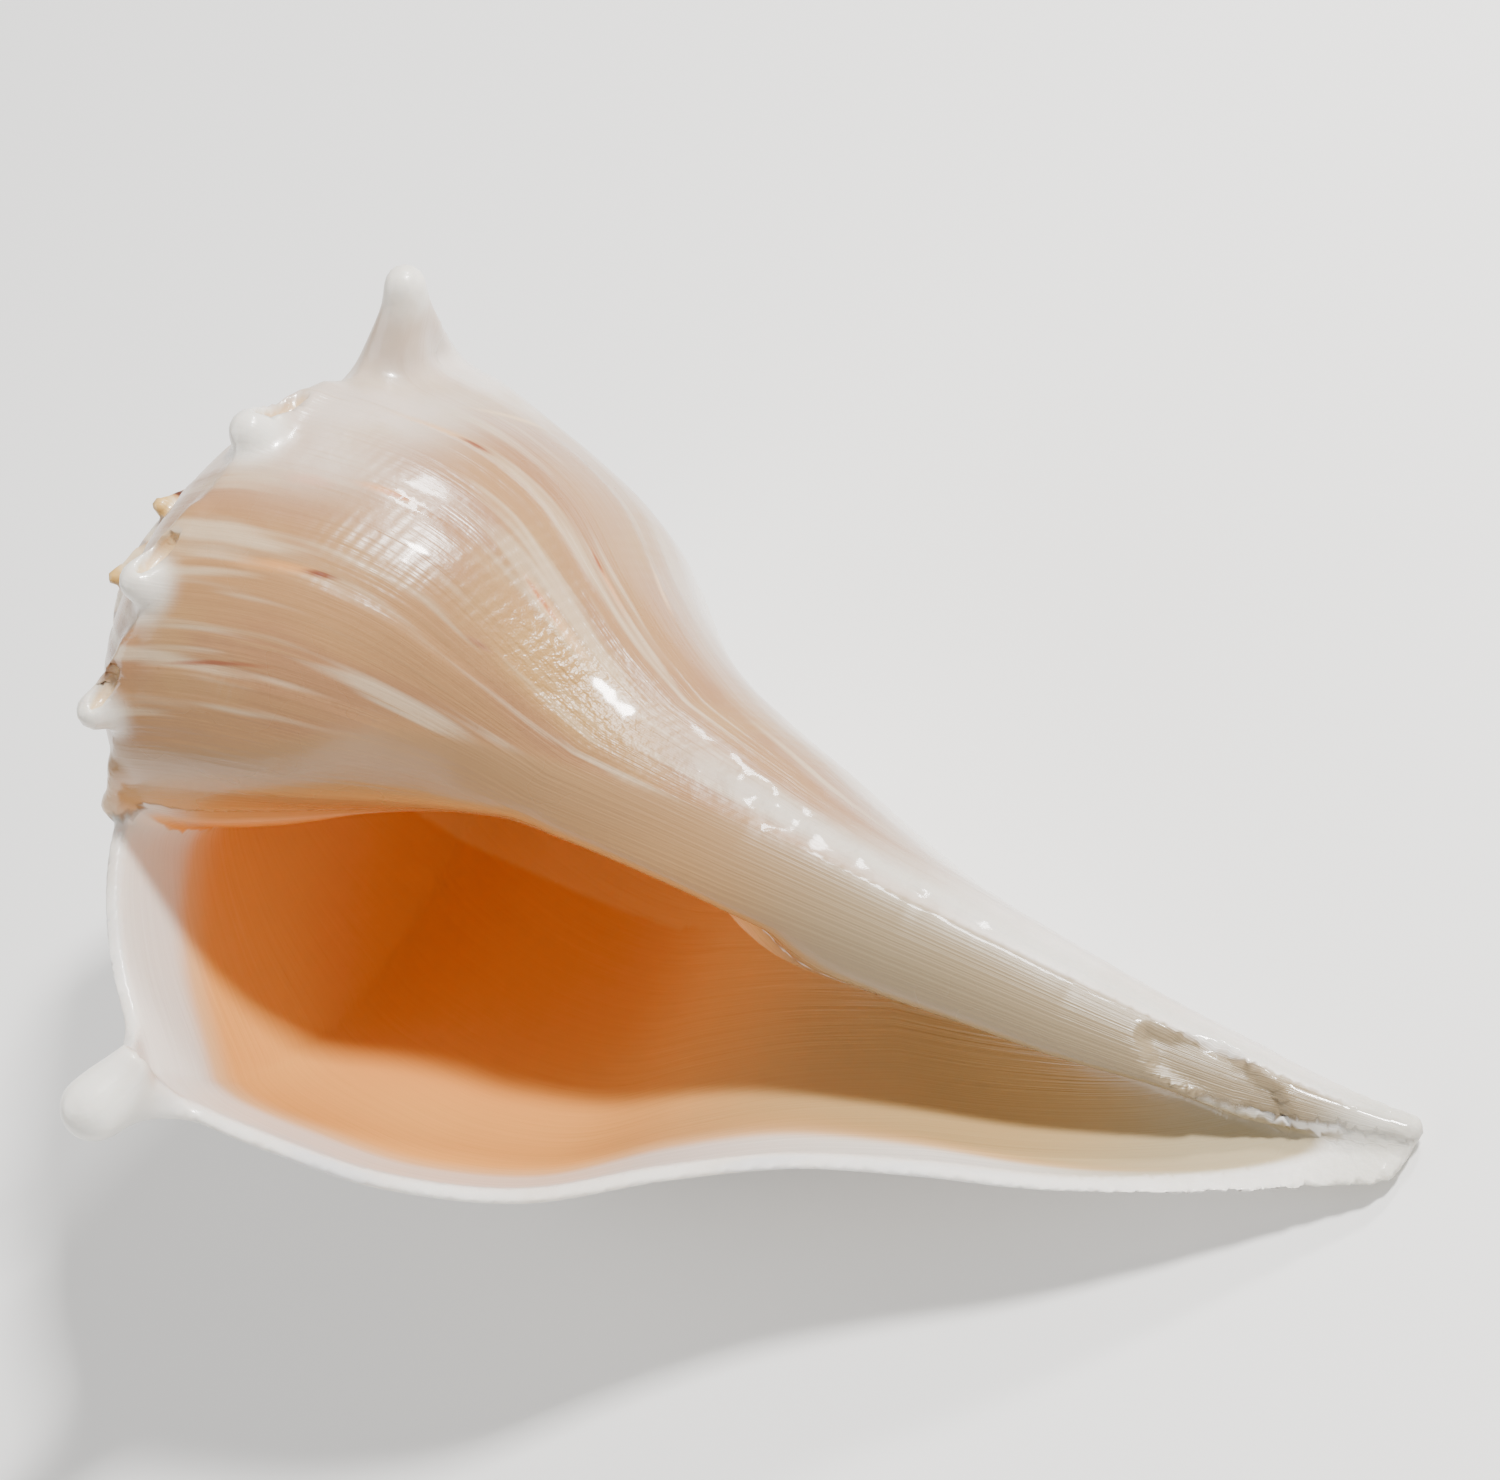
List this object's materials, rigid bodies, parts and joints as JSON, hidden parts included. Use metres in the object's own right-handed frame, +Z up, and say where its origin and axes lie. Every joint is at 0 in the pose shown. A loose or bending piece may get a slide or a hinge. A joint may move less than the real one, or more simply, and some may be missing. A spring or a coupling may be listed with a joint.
{
  "type": "whelk shell",
  "caption": "Left-handed spiral sea shell with a knobbed shoulder, a wide open aperture and a long tapering canal, lying on its back.",
  "frame": {"origin": "centre of the bounding box in plan, on the surface the shell rests on", "axes": "+Z up with the aperture facing up, +X along the shell towards the canal tip, +Y towards the right-hand body side seen with the apex at the left"},
  "size_m": [0.163, 0.1078, 0.0851],
  "materials": {
    "shell": "smooth, softly glossy aragonite; cream outside, orange inside"
  },
  "bodies": {
    "root": {"shell": "shell"}
  },
  "joints": []
}
